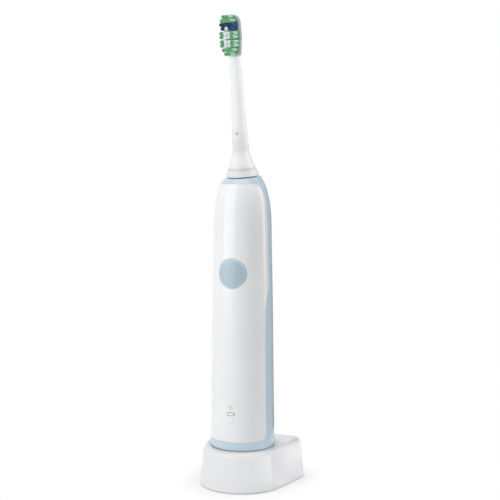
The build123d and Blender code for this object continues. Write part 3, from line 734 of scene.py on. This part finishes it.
def power_mark():
    """Open ring and bar on the power button."""
    drop = surface_under("power_button")
    middle, _ = button_cap()
    centre = (middle.x, middle.z)
    shape = bmesh.new()
    ends = (straight_up + power_mark_gap, straight_up + full_turn - power_mark_gap)
    outside = arc(centre, power_mark_radius + power_mark_line / 2, *ends)
    inside = arc(centre, power_mark_radius - power_mark_line / 2, *ends)
    print_strip(shape, drop, outside, inside, closed=False)
    bar_centre = (centre[0], centre[1] + power_mark_radius)
    bar_size = (power_mark_line, power_mark_bar)
    print_patch(shape, drop, rounded_outline(bar_centre, bar_size, power_mark_line / 3))
    piece = finish_mesh(shape, "power_mark", looks["print_blue"], smooth=False)
    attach(piece, "button")


def button_seal():
    """Soft lip in the shell's hole that lies over the rounded edge of the button."""
    middle, edge = button_cap()
    centre = (middle.x, middle.z)
    reach = (edge - seal_reach, edge + seal_reach)
    on_button = surface_under("power_button")
    on_shell = surface_under("front_shell")
    shape = bmesh.new()
    columns = []
    for k in range(seal_steps):
        way = (math.cos(2 * math.pi * k / seal_steps), math.sin(2 * math.pi * k / seal_steps))
        inside, outside = [drop([c + w * r for c, w in zip(centre, way)])[0].y
                           for drop, r in zip((on_button, on_shell), reach)]
        column = []
        for radius, depth in seal_section:
            level = inside + (outside - inside) * (radius + seal_reach) / (2 * seal_reach)
            column.append(shape.verts.new((centre[0] + way[0] * (edge + radius), level + depth,
                                           centre[1] + way[1] * (edge + radius))))
        columns.append(column)
    for here, there in zip(columns, columns[1:] + columns[:1]):
        for k in range(len(seal_section)):
            shape.faces.new((here[k - 1], here[k], there[k], there[k - 1]))
    piece = finish_mesh(shape, "button_seal", looks["seal_blue"])
    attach(piece, "handle")


def size_dot():
    """Small printed dot on the front of the brush neck."""
    drop = surface_under("brush_neck")
    shape = bmesh.new()
    last = full_turn - full_turn / size_dot_steps
    print_patch(shape, drop, arc((0, size_dot_height), size_dot_radius, 0, last, size_dot_steps - 1))
    piece = finish_mesh(shape, "size_dot", looks["print_grey"], smooth=False)
    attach(piece, "brush_head")


battery_mark()
power_mark()
button_seal()
size_dot()


# Floor, light and camera


def seen_white(tree):
    """One for rays that should see a white background: camera, mirror and glass rays."""
    path = add(tree, "ShaderNodeLightPath")
    rays = [path.outputs[key] for key in ("Is Camera Ray", "Is Glossy Ray", "Is Transmission Ray")]
    two = add(tree, "ShaderNodeMath", {0: rays[0], 1: rays[1]}, operation="MAXIMUM").outputs["Value"]
    return add(tree, "ShaderNodeMath", {0: two, 1: rays[2]}, operation="MAXIMUM").outputs["Value"]


def make_floor():
    """Pale floor that keeps the contact shadow of the object and fades to white."""
    shape = bmesh.new()
    bmesh.ops.create_grid(shape, x_segments=1, y_segments=1, size=floor_half)
    material = bpy.data.materials.new("floor")
    material.use_nodes = True
    tree = material.node_tree
    tree.nodes.remove(tree.nodes["Principled BSDF"])
    place = add(tree, "ShaderNodeTexCoord").outputs["Object"]
    openness = add(tree, "ShaderNodeAmbientOcclusion", {"Distance": floor_shade_reach}).outputs["AO"]
    fade = spread(tree, openness, floor_near_blend, 1.0, floor_shade_depth, 1.0)
    factor = product(tree, fade, seen_white(tree))
    clouds = noise(tree, place, floor_cloud_size)
    paper = tint(tree, clouds, (floor_white * floor_cloud_shade,) * 3, (floor_white,) * 3)
    lit = add(tree, "ShaderNodeBsdfDiffuse", {"Color": paper}).outputs["BSDF"]
    white = add(tree, "ShaderNodeEmission", {"Strength": 1.0}).outputs["Emission"]
    both = add(tree, "ShaderNodeMixShader", {0: factor, 1: lit, 2: white}).outputs["Shader"]
    tree.links.new(both, tree.nodes["Material Output"].inputs["Surface"])
    finish_mesh(shape, "floor", material, smooth=False)


def make_world():
    """White to the eye and in reflections, softer as a source of light."""
    world = bpy.data.worlds.new("studio")
    bpy.context.scene.world = world
    world.use_nodes = True
    tree = world.node_tree
    level = add(tree, "ShaderNodeMapRange", {"Value": seen_white(tree), "To Min": ambient_level})
    tree.links.new(level.outputs["Result"], tree.nodes["Background"].inputs["Strength"])
    tree.nodes["Background"].inputs["Color"].default_value = (1, 1, 1, 1)


def around(azimuth, elevation, distance, aim):
    """Place seen from aim at an azimuth right of the front and an elevation, in degrees."""
    turn = math.radians(azimuth)
    rise = math.radians(elevation)
    way = Vector((math.sin(turn) * math.cos(rise), -math.cos(turn) * math.cos(rise), math.sin(rise)))
    return aim + way * distance


def soft_box(name, side, elevation, distance, width, height, level, target=aim_height, opening=wide_open):
    """Rectangular soft light; side is its azimuth from the camera's. A narrow one leaves no glint."""
    aim = Vector((0, 0, target))
    lamp = bpy.data.lights.new(name, "AREA")
    lamp.spread = math.radians(opening)
    lamp.shape = "RECTANGLE"
    lamp.size = width
    lamp.size_y = height
    lamp.energy = power_per_area * width * height * level
    piece = bpy.data.objects.new(name, lamp)
    piece.location = around(view_azimuth + side, elevation, distance, aim)
    piece.rotation_mode = "QUATERNION"
    piece.rotation_quaternion = (aim - piece.location).to_track_quat("-Z", "Y")
    piece.visible_glossy = opening == wide_open
    bpy.context.scene.collection.objects.link(piece)


def dark_card(name):
    """Curved black card behind the object and on the floor, seen in reflections only."""
    shape = bmesh.new()
    columns = []
    for step in range(card_steps + 1):
        side = view_azimuth + card_start + (card_end - card_start) * step / card_steps
        near = around(side, 0, card_near, Vector((0, 0, card_lift)))
        foot = around(side, 0, card_distance, Vector((0, 0, card_lift)))
        top = foot + Vector((0, 0, card_height))
        columns.append([shape.verts.new(place) for place in (near, foot, top)])
    for here, there in zip(columns, columns[1:]):
        for k in range(2):
            shape.faces.new((here[k], there[k], there[k + 1], here[k + 1]))
    material, tree, shader, place = begin(name, Roughness=0.9, Specular_IOR_Level=0.0)
    felt = tint(tree, noise(tree, place, card_felt_size), (card_felt_dark,) * 3, (card_felt_light,) * 3)
    tree.links.new(felt, shader.inputs["Base Color"])
    piece = finish_mesh(shape, name, material)
    piece.visible_camera = False
    piece.visible_diffuse = False
    piece.visible_shadow = False


def make_camera():
    """Camera at the photograph's viewing angle."""
    data = bpy.data.cameras.new("camera")
    data.lens = lens_length
    data.sensor_width = sensor_width
    data.clip_start = clip_start
    piece = bpy.data.objects.new("camera", data)
    turn = math.radians(view_azimuth)
    piece.location = (math.sin(turn) * view_distance, -math.cos(turn) * view_distance, eye_height)
    aim = Vector((math.cos(turn) * aim_aside, math.sin(turn) * aim_aside, aim_height))
    piece.rotation_mode = "QUATERNION"
    piece.rotation_quaternion = (aim - piece.location).to_track_quat("-Z", "Y")
    bpy.context.scene.collection.objects.link(piece)
    bpy.context.scene.camera = piece


make_floor()
make_world()
for name, values in soft_boxes.items():
    soft_box(name, **values)
for name, values in narrow_boxes.items():
    soft_box(name, distance=narrow_box_distance, width=narrow_box_width, **values)
dark_card("dark_card")
make_camera()
bpy.context.scene.view_settings.view_transform = "Standard"
